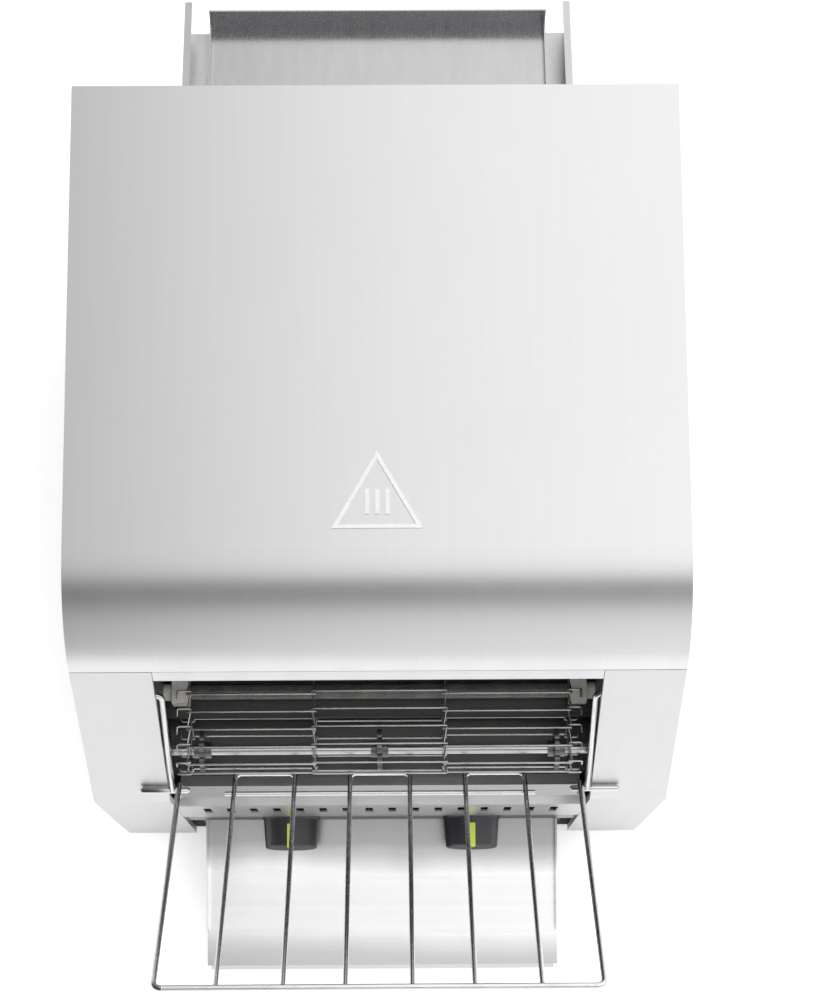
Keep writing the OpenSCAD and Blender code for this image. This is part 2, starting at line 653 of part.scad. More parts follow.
// Guides on the inner walls: a ledge under the front tray and a stop over the rear of its side walls
module tray_runners() color(dark_steel) place() both_sides() translate([0, 0, tray_z]) rotate([tray_deg, 0, 0]) {
    w = wall_x - tray_w / 2 + 7.9;
    translate([tray_w / 2 - 8, 16, -sheet - fit]) cube([w, 48, sheet]);
    translate([tray_w / 2 - 8, 44, tray_wall + fit]) cube([w, 20, sheet]);
}

// Rear chute: two rails joined by a sheet, with tabs against the back panel beside its mouth
module rear_chute() color(steel) place() {
    run = chute_reach + 20;
    y0 = back_out + 0.05;
    difference() {
        translate([0, rear_y, chute_z]) rotate([-chute_deg, 0, 0]) {
            both_sides() {
                translate([chute_half - 5, -run, -sheet]) cube([5, run, sheet]);
                translate([chute_half - sheet, -run, -rail_h]) cube([sheet, run, rail_h]);
            }
            translate([-chute_half, -run, -rail_h]) cube([2 * chute_half, run - 8, sheet]);
        }
        translate([-body_w, y0 - 100, 0]) cube([2 * body_w, 100, body_h]);
    }
    both_sides() translate([chute_half - sheet, y0, mouth_low + 3]) cube([14, sheet, 24]);
}

// Loose rear tray that lies in the chute
module rear_tray() color(steel) place() translate([0, rear_y, chute_z]) rotate([-chute_deg, 0, 0]) {
    half = open_half - 14.5;
    low = -rail_h + sheet + fit;
    translate([-half, -chute_reach + 6, low]) cube([2 * half, chute_reach - 7.2, sheet]);
    translate([-half, -1.2 - sheet, low]) cube([2 * half, sheet, tray_lip]);
    both_sides() translate([half - sheet, -chute_reach + 6, low]) cube([sheet, chute_reach - 8, 9]);
}

// Crumb drawer on the base plate, low enough to pass under the drawn front tray
module crumb_tray() color(steel) place() translate([0, 0, base_top + fit]) {
    half = open_half - 6;
    d = inner_rear - 30;
    difference() {
        translate([-half, wall_inset + 3, 0]) cube([2 * half, d - wall_inset, crumb_h]);
        translate([1 - half, wall_inset + 4, 1]) cube([2 * half - 2, d - wall_inset - 2, crumb_h]);
    }
    translate([-40, wall_inset - 5, crumb_h - 1]) cube([80, 8.2, 1]);
    translate([-40, wall_inset - 5, crumb_h - 7]) cube([80, 1, 7]);
}

// ---------- electrics ----------
module fan_frame() color("black") place() translate([fan_x, back_in - fit - fan_d, fan_z]) difference() {
    translate([-fan_size / 2, 0, -fan_size / 2]) cube([fan_size, fan_d, fan_size]);
    translate([0, 3, 0]) rotate([-90, 0, 0]) cylinder(d = 37, h = fan_d, $fn = 64);
    difference() {
        translate([0, -1, 0]) rotate([-90, 0, 0]) cylinder(d = 37, h = 5, $fn = 64);
        translate([0, -2, 0]) rotate([-90, 0, 0]) cylinder(d = 15, h = 8, $fn = 32);
        for (a = [0, 90]) rotate([0, a + 45, 0]) translate([-20, -2, -1.5]) cube([40, 8, 3]);
    }
}

module fan_rotor() color([0.15, 0.15, 0.15]) place() translate([fan_x, back_in - fit - fan_d + 3.3, fan_z]) rotate([-90, 0, 0]) {
    cylinder(d = 15, h = 10, $fn = 32);
    for (i = [0 : 6]) rotate(i * 360 / 7) translate([6, 0, 5]) rotate([35, 0, 0]) translate([0, -0.6, -4.5]) cube([11, 1.2, 9]);
}

module terminal_block() color("white") place() translate([-wall_out - 36, inner_rear - 90, base_top]) {
    cube([26, 60, 10]);
    for (i = [0 : 4]) translate([3, 3 + i * 11.6, 10]) cube([20, 8, 10]);
}

module cable_gland() color("black") place() translate([gland_x, back_out, gland_z]) rotate([-90, 0, 0]) difference() {
    union() {
        cylinder(d = 24, h = 5, $fn = 6);
        translate([0, 0, 5]) cylinder(d = 19, h = 8, $fn = 48);
        translate([0, 0, -10]) cylinder(d = 16, h = 10.5, $fn = 48);
        translate([0, 0, -10]) cylinder(d = 22, h = 10 - sheet - 0.1, $fn = 6);
    }
    translate([0, 0, -20]) cylinder(d = 9, h = 40, $fn = 32);
}

// Cap screws in the back and the sides
module case_screws() color("silver") place() {
    low = base_top + screw_in + 3;
    high = body_h - lip - 6 - screw_in;
    for (x = [-side_out + screw_in, side_out - screw_in], z = [low, (low + high) / 2, high])
        translate([x, back_out, z]) rotate([-90, 0, 0]) screw();
    both_sides() for (y = [60, body_d / 2, inner_rear - 30]) translate([side_out, y, low]) rotate([0, 90, 0]) screw();
    both_sides() translate([chute_half + 6, back_out + sheet + 0.05, mouth_low + 15]) rotate([-90, 0, 0]) screw();
}

module screw() difference() {
    cylinder(d = 7, h = 1.4, $fn = 32);
    for (a = [0, 90]) rotate(a) translate([-2, -0.4, 0.7]) cube([4, 0.8, 1]);
}

hood();
side_panel_left();
side_panel_right();
front_panel_left();
front_panel_right();
back_panel();
base_plate();
feet();
inner_wall_left();
inner_wall_right();
header();
front_fascia();
entry_ramp();
control_panel();
control_box();
knob_left();
knob_right();
pointer_left();
pointer_right();
spindle_left();
spindle_right();
selector_switch();
speed_control();
upper_reflector();
lower_reflector();
upper_tubes();
lower_tubes();
heater_coils();
ceramic_caps();
mesh_belt();
front_shaft();
drive_shaft();
front_sprockets();
rear_sprockets();
shaft_bushes();
shaft_coupling();
gear_motor();
feed_rack();
rack_arm_left();
rack_arm_right();
discharge_slide();
front_tray();
tray_runners();
rear_chute();
rear_tray();
crumb_tray();
fan_frame();
fan_rotor();
terminal_block();
cable_gland();
case_screws();
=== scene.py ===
import json
import math

import bmesh
import bpy
from mathutils import Euler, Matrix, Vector


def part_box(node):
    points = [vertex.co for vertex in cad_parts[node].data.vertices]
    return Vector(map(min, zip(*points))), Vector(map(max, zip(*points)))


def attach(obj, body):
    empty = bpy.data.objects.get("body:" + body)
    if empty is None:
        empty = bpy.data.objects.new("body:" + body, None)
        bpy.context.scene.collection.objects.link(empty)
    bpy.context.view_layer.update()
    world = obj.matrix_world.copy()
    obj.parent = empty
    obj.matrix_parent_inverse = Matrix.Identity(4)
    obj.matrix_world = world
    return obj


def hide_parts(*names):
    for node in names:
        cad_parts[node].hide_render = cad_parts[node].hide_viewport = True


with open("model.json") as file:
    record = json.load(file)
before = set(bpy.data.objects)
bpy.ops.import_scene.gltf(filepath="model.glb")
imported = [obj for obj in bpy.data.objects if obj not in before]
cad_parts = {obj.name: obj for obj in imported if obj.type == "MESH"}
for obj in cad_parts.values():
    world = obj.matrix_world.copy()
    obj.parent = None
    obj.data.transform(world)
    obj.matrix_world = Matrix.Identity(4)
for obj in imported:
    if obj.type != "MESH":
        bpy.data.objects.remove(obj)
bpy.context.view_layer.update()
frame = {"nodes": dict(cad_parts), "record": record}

nodes = frame["nodes"]

MM = 0.001
FRONT_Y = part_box("front_panel_right")[0].y      # plane of the front columns


def at(x, y, z):
    """Point in metres from millimetres measured behind the front columns."""
    return Vector((x * MM, FRONT_Y + y * MM, z * MM))


# ---------- camera ----------
CAMERA_PLACE = (9.5, -167.4, 1705.2)            # millimetres, as in at()
CAMERA_TURN = (10.749, -0.271, -0.357)          # degrees about X, Y and Z
LENS = 83.43
SENSOR = 36
SHIFT_Y = 0.1252
NEAR, FAR = 0.1, 20


def make_camera():
    data = bpy.data.cameras.new("camera")
    data.sensor_width = SENSOR
    data.sensor_height = SENSOR
    data.lens = LENS
    data.shift_y = SHIFT_Y
    data.clip_start = NEAR
    data.clip_end = FAR
    camera = bpy.data.objects.new("camera", data)
    camera.location = at(*CAMERA_PLACE)
    camera.rotation_euler = Euler([math.radians(a) for a in CAMERA_TURN])
    bpy.context.scene.collection.objects.link(camera)
    bpy.context.scene.camera = camera


make_camera()
bpy.context.scene.view_settings.view_transform = "Standard"


# ---------- node helpers ----------
class Graph:
    """Small helper over a node tree."""

    def __init__(self, tree):
        self.tree = tree
        self.tree.nodes.clear()

    def new(self, kind, **values):
        n = self.tree.nodes.new(kind)
        for k, v in values.items():
            setattr(n, k, v)
        return n

    def link(self, a, b):
        self.tree.links.new(a, b)

    def math(self, op, a, b):
        n = self.new("ShaderNodeMath", operation=op)
        for i, v in enumerate((a, b)):
            if isinstance(v, (int, float)):
                n.inputs[i].default_value = v
            else:
                self.link(v, n.inputs[i])
        return n.outputs[0]

    def split(self, vector):
        n = self.new("ShaderNodeSeparateXYZ")
        self.link(vector, n.inputs[0])
        return n.outputs

    def stretched(self, coord, scale):
        n = self.new("ShaderNodeMapping")
        n.inputs["Scale"].default_value = scale
        self.link(coord, n.inputs["Vector"])
        return n.outputs[0]

    def noise(self, vector, scale, detail=2.0, rough=0.5):
        n = self.new("ShaderNodeTexNoise")
        n.inputs["Scale"].default_value = scale
        n.inputs["Detail"].default_value = detail
        n.inputs["Roughness"].default_value = rough
        self.link(vector, n.inputs["Vector"])
        return n.outputs["Fac"]

    def remap(self, value, a, b, c, d):
        n = self.new("ShaderNodeMapRange")
        for i, v in enumerate((a, b, c, d)):
            n.inputs[i + 1].default_value = v
        self.link(value, n.inputs[0])
        return n.outputs[0]

    def ramp(self, value, stops):
        n = self.new("ShaderNodeValToRGB")
        e = n.color_ramp.elements
        while len(e) < len(stops):
            e.new(0.5)
        for el, (p, c) in zip(e, stops):
            el.position = p
            el.color = (*c, 1) if isinstance(c, tuple) else (c, c, c, 1)
        self.link(value, n.inputs[0])
        return n.outputs[0]

    def mix(self, fac, a, b, mode="MIX"):
        n = self.new("ShaderNodeMix", data_type="RGBA", blend_type=mode)
        for sock, v in ((n.inputs[0], fac), (n.inputs[6], a), (n.inputs[7], b)):
            if isinstance(v, (int, float)):
                sock.default_value = v
            elif isinstance(v, tuple):
                sock.default_value = (*v, 1)
            else:
                self.link(v, sock)
        return n.outputs[2]

    def bump(self, height, strength, distance):
        n = self.new("ShaderNodeBump")
        n.inputs["Strength"].default_value = strength
        n.inputs["Distance"].default_value = distance
        self.link(height, n.inputs["Height"])
        return n.outputs[0]


# ---------- finishes ----------
finishes = {}                                   # material by slot
surfaces = {}                                   # its helper, principled surface and Object coordinates


def start_finish(name):
    m = bpy.data.materials.new(name)
    m.use_nodes = True
    g = Graph(m.node_tree)
    out = g.new("ShaderNodeOutputMaterial")
    surface = g.new("ShaderNodeBsdfPrincipled")
    g.link(surface.outputs[0], out.inputs[0])
    coord = g.new("ShaderNodeTexCoord").outputs["Object"]
    finishes[name] = m
    surfaces[name] = (g, surface, coord)
    return surfaces[name]


def steel(name, color, rough, grain=(14, 1500, 1500), streak=0.06, spread=0.05, bump=0.02, cloud=0.04):
    """Rolled or brushed sheet: fine streaks along one axis, faint clouds from handling and heat."""
    g, surface, coord = start_finish(name)
    lines = g.noise(g.stretched(coord, grain), 1.0, 3.0, 0.6)
    wide = g.noise(g.stretched(coord, tuple(v / 6 for v in grain)), 1.0, 2.0, 0.5)
    clouds = g.noise(coord, 7.0, 3.0, 0.55)
    shade = g.math("ADD", g.remap(lines, 0.3, 0.7, 1 - streak, 1 + streak),
                   g.remap(wide, 0.3, 0.7, -streak / 2, streak / 2))
    shade = g.math("MULTIPLY", shade, g.remap(clouds, 0.3, 0.7, 1 - cloud, 1.0))
    g.link(g.mix(1.0, color, shade, "MULTIPLY"), surface.inputs["Base Color"])
    dull = g.math("ADD", g.remap(lines, 0.25, 0.75, rough - spread, rough + spread),
                  g.remap(clouds, 0.3, 0.7, -spread / 2, spread / 2))
    g.link(dull, surface.inputs["Roughness"])
    g.link(g.bump(lines, bump, 0.0004), surface.inputs["Normal"])
    surface.inputs["Metallic"].default_value = 1.0


def wire_metal(name, color, rough, dirt):
    """Drawn wire with faint draw marks and a little oxide."""
    g, surface, coord = start_finish(name)
    marks = g.noise(g.stretched(coord, (60, 2600, 2600)), 1.0, 2.0, 0.6)
    spots = g.noise(coord, 55.0, 3.0, 0.6)
    dark = tuple(c * (1 - dirt * 2.2) for c in color)
    g.link(g.mix(g.remap(spots, 0.52, 0.72, 0, 1), color, dark), surface.inputs["Base Color"])
    dull = g.math("ADD", g.remap(marks, 0.3, 0.7, rough - 0.04, rough + 0.05),
                  g.remap(spots, 0.5, 0.8, 0, 0.10))
    g.link(dull, surface.inputs["Roughness"])
    g.link(g.bump(marks, 0.04, 0.0002), surface.inputs["Normal"])
    surface.inputs["Metallic"].default_value = 1.0


def moulded(name, color, rough, grain=1600.0, bump=0.05, coat=0.0, speckle=0.06):
    """Moulded plastic, rubber or ceramic with a fine grain and faint wear."""
    g, surface, coord = start_finish(name)
    fine = g.noise(coord, grain, 2.0, 0.5)
    soft = g.noise(coord, 38.0, 3.0, 0.55)
    worn = tuple(max(0.0, c * (1 - speckle * 2)) for c in color)
    fresh = tuple(min(1.0, c * (1 + speckle * 2) + 0.002) for c in color)
    g.link(g.mix(g.remap(soft, 0.35, 0.65, 0, 1), worn, fresh), surface.inputs["Base Color"])
    dull = g.math("ADD", g.remap(fine, 0.3, 0.7, rough - 0.05, rough + 0.05),
                  g.remap(soft, 0.35, 0.65, -0.03, 0.04))
    g.link(dull, surface.inputs["Roughness"])
    g.link(g.bump(fine, bump, 0.0003), surface.inputs["Normal"])
    surface.inputs["Coat Weight"].default_value = coat


def quartz(name):
    """Smoked quartz tube."""
    g, surface, coord = start_finish(name)
    soft = g.noise(coord, 90.0, 2.0, 0.5)
    smoke = [(0.35, (0.30, 0.29, 0.28)), (0.65, (0.38, 0.37, 0.355))]
    g.link(g.ramp(soft, smoke), surface.inputs["Base Color"])
    g.link(g.remap(soft, 0.3, 0.7, 0.14, 0.26), surface.inputs["Roughness"])
    surface.inputs["Transmission Weight"].default_value = 0.8
    surface.inputs["IOR"].default_value = 1.46


def paint_highlight_above(slot, level):
    """Painted highlight: paler, duller metal above a height, standing in for the light a pressing's raised
    ridges catch.
    """
    g, surface, coord = surfaces[slot]
    tint, dull = surface.inputs["Base Color"], surface.inputs["Roughness"]
    patches = g.remap(g.noise(coord, 260.0, 2.0, 0.5), 0.3, 0.6, 0.32, 0.46)
    highlight_mask = g.math("MULTIPLY", g.math("GREATER_THAN", g.split(coord)[2], level), patches)
    g.link(g.mix(highlight_mask, tint.links[0].from_socket, (0.98, 0.98, 0.98)), tint)
    g.link(g.math("ADD", dull.links[0].from_socket, g.math("MULTIPLY", highlight_mask, 0.37)), dull)
    g.link(g.math("SUBTRACT", 1.0, g.math("MULTIPLY", highlight_mask, 0.8)), surface.inputs["Metallic"])


def shade_along(slot, stops, first_y, last_y):
    """Darkens a finish by its depth along Y: painted shade."""
    g, surface, coord = surfaces[slot]
    tint = surface.inputs["Base Color"]
    wobble = g.math("MULTIPLY", g.math("SUBTRACT", g.noise(coord, 9.0, 2.0, 0.5), 0.5), 0.02)
    depth = g.math("ADD", g.split(coord)[1], wobble)
    share = g.remap(depth, at(0, first_y, 0).y, at(0, last_y, 0).y, 0.0, 1.0)
    g.link(g.mix(1.0, tint.links[0].from_socket, g.ramp(share, stops), "MULTIPLY"), tint)


# Sheet steel of the case
steel("hood_steel", (0.80, 0.80, 0.805), 0.33, (1500, 30, 30), 0.014, 0.03, 0.006, 0.02)
steel("panel_steel", (0.76, 0.76, 0.765), 0.45, (900, 900, 10), 0.02, 0.04, 0.01, 0.02)
steel("back_steel", (0.66, 0.66, 0.67), 0.42, (10, 1200, 1200))
steel("base_steel", (0.46, 0.46, 0.48), 0.5, (40, 60, 60), 0.12, 0.1, 0.03, 0.12)
steel("chamber_steel", (0.15, 0.147, 0.143), 0.40, (14, 300, 700), 0.16, 0.08, 0.03, 0.2)
steel("fascia_steel", (0.74, 0.74, 0.745), 0.34, (10, 1300, 1300), 0.04)
steel("control_steel", (0.50, 0.50, 0.51), 0.34, (10, 1300, 1300), 0.05)

# Trays, slide and chute
steel("tray_steel", (0.99, 0.99, 0.995), 0.20, (8, 1100, 1100), 0.04, 0.04, 0.015, 0.03)
steel("slide_steel", (0.55, 0.54, 0.53), 0.30, (900, 8, 900), 0.07, 0.06, 0.02, 0.1)
steel("rear_tray_steel", (0.56, 0.56, 0.57), 0.24, (1100, 8, 1100), 0.05, 0.05, 0.02, 0.05)
steel("chute_steel", (0.66, 0.66, 0.67), 0.34, (1100, 8, 1100), 0.05)
steel("crumb_steel", (0.58, 0.57, 0.56), 0.4, (1000, 8, 1000), 0.07, 0.06, 0.02, 0.14)

# Feet, knobs and controls
moulded("foot_rubber", (0.035, 0.035, 0.037), 0.75, 900, 0.12)
moulded("knob_plastic", (0.026, 0.027, 0.030), 0.36, 2200, 0.06, 0.08)
moulded("pointer_green", (0.42, 0.55, 0.03), 0.36, 1500, 0.02, 0.1, 0.03)
steel("shaft_steel", (0.70, 0.70, 0.70), 0.24, (12, 1400, 1400), 0.05)
moulded("control_plastic", (0.09, 0.09, 0.10), 0.5)

# Heaters
quartz("quartz")
wire_metal("coil", (0.30, 0.22, 0.16), 0.5, 0.2)
moulded("cap_ceramic", (0.58, 0.565, 0.53), 0.7, 700, 0.1, 0.0, 0.04)

# Belt, its drive and the feed rack
wire_metal("belt_wire", (0.60, 0.59, 0.58), 0.24, 0.1)
steel("sprocket_steel", (0.26, 0.255, 0.25), 0.36, (60, 60, 60), 0.12, 0.08, 0.03, 0.15)
steel("bush_brass", (0.50, 0.38, 0.22), 0.4, (60, 60, 60), 0.1)
wire_metal("rack_wire", (0.86, 0.86, 0.865), 0.24, 0.03)
wire_metal("arm_wire", (0.80, 0.80, 0.805), 0.2, 0.03)

# Fan, terminals, gland and screws
moulded("fan_plastic", (0.03, 0.03, 0.032), 0.5)
moulded("rotor_plastic", (0.045, 0.045, 0.048), 0.45)
moulded("terminal_plastic", (0.74, 0.73, 0.68), 0.5)
moulded("gland_plastic", (0.035, 0.035, 0.037), 0.45, 1200, 0.06)
steel("screw_steel", (0.64, 0.64, 0.65), 0.3, (400, 400, 400), 0.06)

# The pressed mark stands just over the hood's plain sheet; its top gets a painted highlight, paler and
# duller than the sheet
MARK_FACE = 0.0003
paint_highlight_above("hood_steel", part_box("hood")[1].z - MARK_FACE)

# Painted shade on the front tray, darker at its lip and under the control panel, standing in for the dark
# parts it reflects
TRAY_PAINTED_SHADE = [(0.0, 0.62), (0.12, 0.70), (0.26, 1.0), (0.62, 1.0), (0.72, 0.62), (0.80, 0.42), (1.0, 0.34)]
shade_along("tray_steel", TRAY_PAINTED_SHADE, -101, 10)

slot_of = {s["node"]: s.get("material_slot", s["node"]) for s in frame["record"]["subparts"]}
for name, obj in nodes.items():
    obj.data.materials.clear()
    obj.data.materials.append(finishes[slot_of[name]])


def mesh_object(name, mesh, slot):
    obj = bpy.data.objects.new(name, mesh)
    bpy.context.scene.collection.objects.link(obj)
    mesh.materials.clear()
    mesh.materials.append(finishes[slot])
    return obj


# ---------- wire pieces ----------
END_OUT, END_WIDTH = 0.7, 0.6                   # domed wire ends, as shares of the wire's radius


def rounded(points, radius, steps):
    """The same path with each corner turned on a short curve."""
    pts = [Vector(p) for p in points]
    out = [pts[0]]
    for a, b, c in zip(pts, pts[1:], pts[2:]):
        r = min(radius, (a - b).length * 0.49, (c - b).length * 0.49)
        p0, p1 = b + (a - b).normalized() * r, b + (c - b).normalized() * r
        for i in range(steps + 1):
            t = i / steps
            out.append(p0 * (1 - t) ** 2 + b * 2 * t * (1 - t) + p1 * t ** 2)
    out.append(pts[-1])
    return out


def tube(bm, points, radius, sides):
    """Sweeps a round section along the points, with domed ends."""
    pts = [Vector(p) for p in points]
    last = len(pts) - 1
    tangents = [(pts[min(i + 1, last)] - pts[max(i - 1, 0)]).normalized() for i in range(last + 1)]
    angles = [2 * math.pi * k / sides for k in range(sides)]
    rings = []

    def ring(centre, along, up, r):
        across = along.cross(up).normalized()
        rings.append([bm.verts.new(centre + (up * math.cos(a) + across * math.sin(a)) * r) for a in angles])

    previous = tangents[0]
    normal = previous.orthogonal().normalized()
    for i, (point, tangent) in enumerate(zip(pts, tangents)):
        normal = previous.rotation_difference(tangent) @ normal
        normal = (normal - tangent * normal.dot(tangent)).normalized()
        previous = tangent
        if i == 0:
            ring(point - tangent * radius * END_OUT, tangent, normal, radius * END_WIDTH)
        ring(point, tangent, normal, radius)
        if i == last:
            ring(point + tangent * radius * END_OUT, tangent, normal, radius * END_WIDTH)
    for r0, r1 in zip(rings, rings[1:]):
        for k in range(sides):
            bm.faces.new((r0[k], r0[(k + 1) % sides], r1[(k + 1) % sides], r1[k]))
    bm.faces.new(list(reversed(rings[0])))
    bm.faces.new(rings[-1])


def finish_mesh(bm, name):
    bmesh.ops.recalc_face_normals(bm, faces=bm.faces)
    me = bpy.data.meshes.new(name)
    bm.to_mesh(me)
    bm.free()
    for p in me.polygons:
        p.use_smooth = True
    return me


def repeat_tree():
    """Geometry nodes that set a unit piece at every point, turned by the point's own angles."""
    tree = bpy.data.node_groups.new("repeat", "GeometryNodeTree")
    tree.interface.new_socket("Places", in_out="INPUT", socket_type="NodeSocketGeometry")
    unit = tree.interface.new_socket("Unit", in_out="INPUT", socket_type="NodeSocketObject")
    finish = tree.interface.new_socket("Finish", in_out="INPUT", socket_type="NodeSocketMaterial")
    tree.interface.new_socket("Pieces", in_out="OUTPUT", socket_type="NodeSocketGeometry")
    given = tree.nodes.new("NodeGroupInput")
    result = tree.nodes.new("NodeGroupOutput")
    piece = tree.nodes.new("GeometryNodeObjectInfo")
    turn = tree.nodes.new("GeometryNodeInputNamedAttribute")
    turn.data_type = "FLOAT_VECTOR"
    turn.inputs["Name"].default_value = "turn"
    copies = tree.nodes.new("GeometryNodeInstanceOnPoints")
    real = tree.nodes.new("GeometryNodeRealizeInstances")
    coated = tree.nodes.new("GeometryNodeSetMaterial")
    for a, b in (
        (given.outputs["Places"], copies.inputs["Points"]),
        (given.outputs["Unit"], piece.inputs["Object"]),
        (piece.outputs["Geometry"], copies.inputs["Instance"]),
        (turn.outputs["Attribute"], copies.inputs["Rotation"]),
        (copies.outputs["Instances"], real.inputs["Geometry"]),
        (real.outputs["Geometry"], coated.inputs["Geometry"]),
        (given.outputs["Finish"], coated.inputs["Material"]),
        (coated.outputs["Geometry"], result.inputs["Pieces"]),
    ):
        tree.links.new(a, b)
    return tree, unit.identifier, finish.identifier


def repeated(name, unit_mesh, places, slot):
    """Copies of one mesh at (point, rotation) places, through geometry nodes, as one plain mesh."""
    unit = bpy.data.objects.new(name + "_unit", unit_mesh)
    base = bpy.data.meshes.new(name + "_places")
    base.from_pydata([point for point, turn in places], [], [])
    turns = base.attributes.new("turn", "FLOAT_VECTOR", "POINT")
    for i, (point, turn) in enumerate(places):
        turns.data[i].vector = turn
    holder = bpy.data.objects.new(name + "_places", base)
    for obj in (unit, holder):
        bpy.context.scene.collection.objects.link(obj)
    tree, unit_input, finish_input = repeat_tree()
    mod = holder.modifiers.new("repeat", "NODES")
    mod.node_group = tree
    mod[unit_input] = unit
    mod[finish_input] = finishes[slot]
    bpy.context.view_layer.update()
    graph = bpy.context.evaluated_depsgraph_get()
    me = bpy.data.meshes.new_from_object(holder.evaluated_get(graph), depsgraph=graph)
    me.name = name
    for obj in (holder, unit):
        bpy.data.objects.remove(obj)
    return mesh_object(name, me, slot)


# ---------- mesh belt ----------
# Round wire at the stations of the CAD belt, in millimetres
PITCH = 11.2                                    # from strand to strand
RUN = 26                                        # strands along each straight run
TEETH = 8                                       # stations in one full turn round the sprockets
BELT_WIRE = 1.4
LINK_DROP = 1.9                                 # how far a link passes under its neighbour
LINK_FLARE = 2.4                                # how far a link's legs lean apart
LINK_IN_X, LINK_OUT_X = 40.0, 121.0
EDGE_X = 127.0
END_EYE = 4.6
LINK_REACH = PITCH + LINK_DROP
TURN_RADIUS = PITCH / 2 / math.sin(math.pi / TEETH)


def belt_strand():
    """One strand: a bar with two links that hook round the next strand, and an eye at each end."""
    inner, outer = LINK_IN_X + LINK_FLARE, LINK_OUT_X - LINK_FLARE
    right = [
        (inner, LINK_REACH, 0), (inner, LINK_REACH, -LINK_DROP),
        (LINK_IN_X, 0, -LINK_DROP), (LINK_IN_X, 0, 0),
        (LINK_OUT_X, 0, 0), (LINK_OUT_X, 0, -LINK_DROP),
        (outer, LINK_REACH, -LINK_DROP), (outer, LINK_REACH, 0),
        (EDGE_X, LINK_REACH, 0), (EDGE_X, LINK_REACH - END_EYE, 0),
    ]
    path = [(-x, y, z) for x, y, z in reversed(right)] + right
    bm = bmesh.new()
    tube(bm, [p * MM for p in rounded(path, 1.3, 4)], BELT_WIRE / 2 * MM, 8)
    return finish_mesh(bm, "belt_strand")


def station(k):
    """Distance behind the front shaft, height over it and turn about X of strand k, going round."""
    tooth = 2 * math.pi / TEETH
    half = RUN + TEETH // 2
    if k < RUN:
        return k * PITCH, TURN_RADIUS, 0.0
    if k < half:
        a = (k - RUN) * tooth
        return RUN * PITCH + TURN_RADIUS * math.sin(a), TURN_RADIUS * math.cos(a), -a - tooth / 2
    if k < RUN + half:
        return (RUN - (k - half)) * PITCH, -TURN_RADIUS, math.pi
    a = (k - RUN - half) * tooth
    return -TURN_RADIUS * math.sin(a), -TURN_RADIUS * math.cos(a), math.pi - a - tooth / 2


def belt_places():
    axle = sum(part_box("front_shaft"), Vector()) / 2
    places = []
    for k in range(2 * RUN + TEETH):
        y, z, turn = station(k)
        places.append(((0, axle.y + y * MM, axle.z + z * MM), (turn, 0, 0)))
    return places


belt = repeated("belt_strands", belt_strand(), belt_places(), "belt_wire")
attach(belt, "body")
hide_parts("mesh_belt")


# ---------- rack arms ----------
# Wire bent in one sweep, and its pivot pin, in millimetres
ARM_WIRE = 4.0
ARM_BEND = 8.5
ARM_SIDES = 14
ARM_X, HOOK_X = 132.2, 141.7
PIN_IN_X, PIN_OUT_X = 122.5, 151.0
PIVOT_Y, PIVOT_Z = 5.37, 235.0
HOOK_Z = 313.0


def rack_arm(side):
    hook_y = (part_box("rack_arm_right")[1].y - FRONT_Y) / MM - ARM_WIRE / 2
    hook, corner = at(HOOK_X * side, hook_y, HOOK_Z), at(ARM_X * side, hook_y, HOOK_Z)
    foot = at(ARM_X * side, PIVOT_Y, PIVOT_Z)
    pin = [at(x * side, PIVOT_Y, PIVOT_Z) for x in (PIN_IN_X, PIN_OUT_X)]
    bm = bmesh.new()
    for path in (rounded([hook, corner, foot], ARM_BEND * MM, 8), pin):
        tube(bm, path, ARM_WIRE / 2 * MM, ARM_SIDES)
    return finish_mesh(bm, "arm")


for side, node in ((1, "rack_arm_right"), (-1, "rack_arm_left")):
    arm = mesh_object("bent_" + node, rack_arm(side), "arm_wire")
    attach(arm, "body")
    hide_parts(node)


# ---------- heating wire ----------
# A fine helix in every quartz tube, in millimetres
COIL_RADIUS = 2.9
COIL_WIRE = 0.84
COIL_TURNS = 74
COIL_MARGIN = 1.0                               # shorter than the CAD coil at each end
STEPS_PER_TURN = 10


def coil_mesh(length):
    steps = COIL_TURNS * STEPS_PER_TURN
    path = []
    for i in range(steps + 1):
        t = i / steps
        a = 2 * math.pi * COIL_TURNS * t
        path.append((length * (t - 0.5), COIL_RADIUS * MM * math.cos(a), COIL_RADIUS * MM * math.sin(a)))
    bm = bmesh.new()
    tube(bm, path, COIL_WIRE / 2 * MM, 4)
    return finish_mesh(bm, "coil")


def coil_centres(end_x):
    """Middle of each CAD coil's end, as (y, z): vertices closer than the tubes' spacing go together."""
    ends = []
    for v in nodes["heater_coils"].data.vertices:
        if v.co.x < end_x - 0.5 * MM:
            continue
        spot = Vector((0, v.co.y, v.co.z))
        near = next((e for e in ends if (spot - e[0]).length < 20 * MM), None)
        if near:
            near.append(spot)
        else:
            ends.append([spot])
    boxes = [([p.y for p in end], [p.z for p in end]) for end in ends]
    return [((min(ys) + max(ys)) / 2, (min(zs) + max(zs)) / 2) for ys, zs in boxes]


coil_lo, coil_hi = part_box("heater_coils")
coil = coil_mesh(coil_hi.x - coil_lo.x - 2 * COIL_MARGIN * MM)
coil_places = [((0, y, z), (0, 0, 0)) for y, z in coil_centres(coil_hi.x)]
coils = repeated("heating_wire", coil, coil_places, "coil")
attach(coils, "body")
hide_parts("heater_coils")


# ---------- stage ----------
FLOOR_HALF = 6                                  # metres
FLOOR_COLOR = (0.92, 0.92, 0.925, 1)
FLOOR_GLOW = 0.30                               # seen by the camera alone
WHITE = (1, 1, 1, 1)


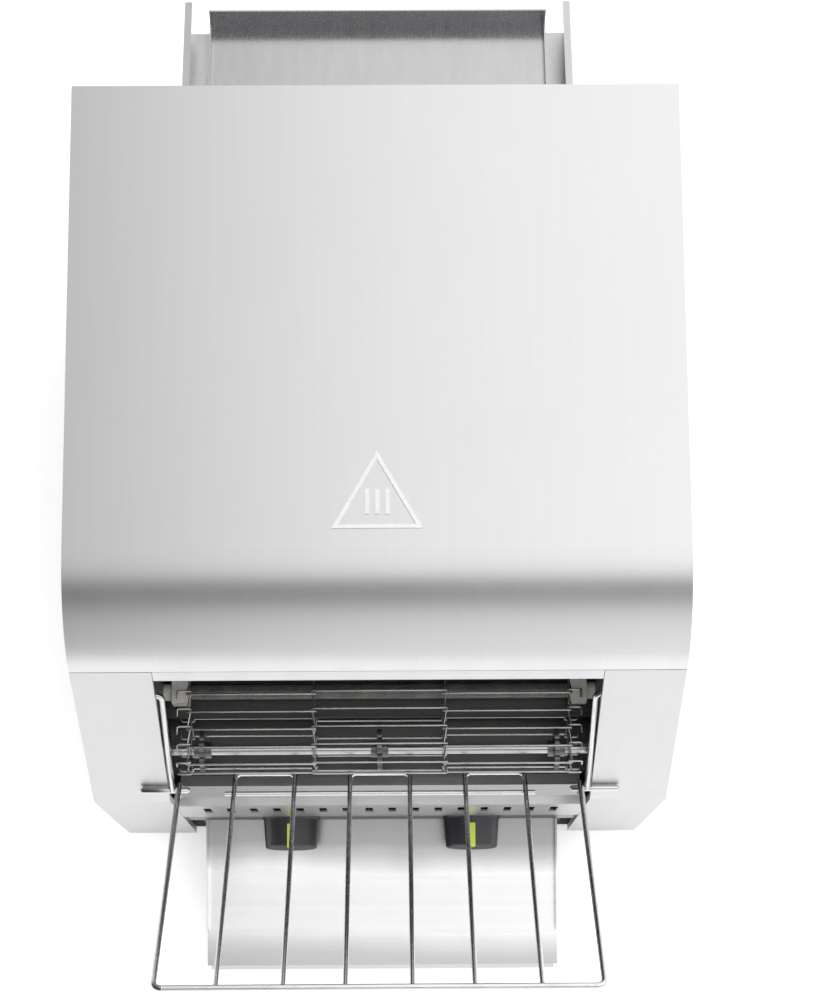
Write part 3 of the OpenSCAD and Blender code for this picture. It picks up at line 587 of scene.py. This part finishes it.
def make_floor():
    bm = bmesh.new()
    bmesh.ops.create_grid(bm, x_segments=2, y_segments=2, size=FLOOR_HALF)
    me = bpy.data.meshes.new("floor")
    bm.to_mesh(me)
    bm.free()
    floor = bpy.data.objects.new("floor", me)
    bpy.context.scene.collection.objects.link(floor)
    m = bpy.data.materials.new("floor")
    m.use_nodes = True
    g = Graph(m.node_tree)
    out = g.new("ShaderNodeOutputMaterial")
    paint = g.new("ShaderNodeBsdfDiffuse")
    paint.inputs[0].default_value = FLOOR_COLOR
    glow = g.new("ShaderNodeEmission")
    glow.inputs[0].default_value = WHITE
    path = g.new("ShaderNodeLightPath")
    g.link(g.math("MULTIPLY", path.outputs["Is Camera Ray"], FLOOR_GLOW), glow.inputs[1])
    both = g.new("ShaderNodeAddShader")
    g.link(paint.outputs[0], both.inputs[0])
    g.link(glow.outputs[0], both.inputs[1])
    g.link(both.outputs[0], out.inputs[0])
    me.materials.append(m)


make_floor()

# How bright polished faces see the room: by degrees ahead of the zenith, and by share from left to right
AHEAD = [
    (-180, 0.80), (-90, 0.80), (-45, 0.95), (-12, 1.0), (6, 0.98), (14, 0.94),
    (20, 0.18), (34, 0.22), (50, 0.70), (85, 0.78), (120, 0.78),
]
SIDEWAYS = [
    (0.0, 0.05), (0.27, 0.07), (0.37, 0.42), (0.43, 0.97),
    (0.50, 1.0), (0.56, 0.94), (0.64, 0.98), (1.0, 1.0),
]
ROOM_SHINE = 1.32
ROOM_LIGHT = 0.62


def make_world():
    """White studio: bright overhead and to the rear, a dimmer gap ahead of the zenith."""
    world = bpy.data.worlds.new("studio")
    bpy.context.scene.world = world
    world.use_nodes = True
    g = Graph(world.node_tree)
    x, y, z = g.split(g.new("ShaderNodeTexCoord").outputs["Generated"])
    ahead = g.math("ARCTAN2", g.math("MULTIPLY", y, -1.0), z)
    ahead = g.remap(ahead, -math.pi, math.pi, 0.0, 1.0)
    band = g.ramp(ahead, [(0.5 + degrees / 360.0, v) for degrees, v in AHEAD])
    side = g.ramp(g.remap(x, -0.5, 0.5, 0.0, 1.0), SIDEWAYS)

    def background(color, strength):
        n = g.new("ShaderNodeBackground")
        if isinstance(color, tuple):
            n.inputs[0].default_value = color
        else:
            g.link(color, n.inputs[0])
        n.inputs[1].default_value = strength
        return n.outputs[0]

    def choose(share, otherwise, chosen):
        n = g.new("ShaderNodeMixShader")
        for sock, v in zip(n.inputs, (share, otherwise, chosen)):
            g.link(v, sock)
        return n.outputs[0]

    ray = g.new("ShaderNodeLightPath").outputs
    mirrored = g.math("MAXIMUM", ray["Is Glossy Ray"], ray["Is Transmission Ray"])
    room = choose(mirrored, background(WHITE, ROOM_LIGHT),
                  background(g.mix(1.0, band, side, "MULTIPLY"), ROOM_SHINE))
    seen = choose(ray["Is Camera Ray"], room, background(WHITE, 1.0))
    g.link(seen, g.new("ShaderNodeOutputWorld").inputs[0])


make_world()


def soft_lamp(name, place, target, size, power):
    lamp = bpy.data.lights.new(name, "AREA")
    lamp.shape = "RECTANGLE"
    lamp.size, lamp.size_y = size
    lamp.energy = power
    obj = bpy.data.objects.new(name, lamp)
    obj.location = place
    obj.rotation_euler = (Vector(target) - Vector(place)).to_track_quat("-Z", "Y").to_euler()
    obj.visible_glossy = False
    bpy.context.scene.collection.objects.link(obj)


soft_lamp("key", (0.5, -0.2, 2.6), (0, 0, 0.1), (2.6, 2.6), 52)
soft_lamp("front", (0.1, -2.4, 1.1), (0, -0.2, 0.15), (2.2, 1.2), 16)
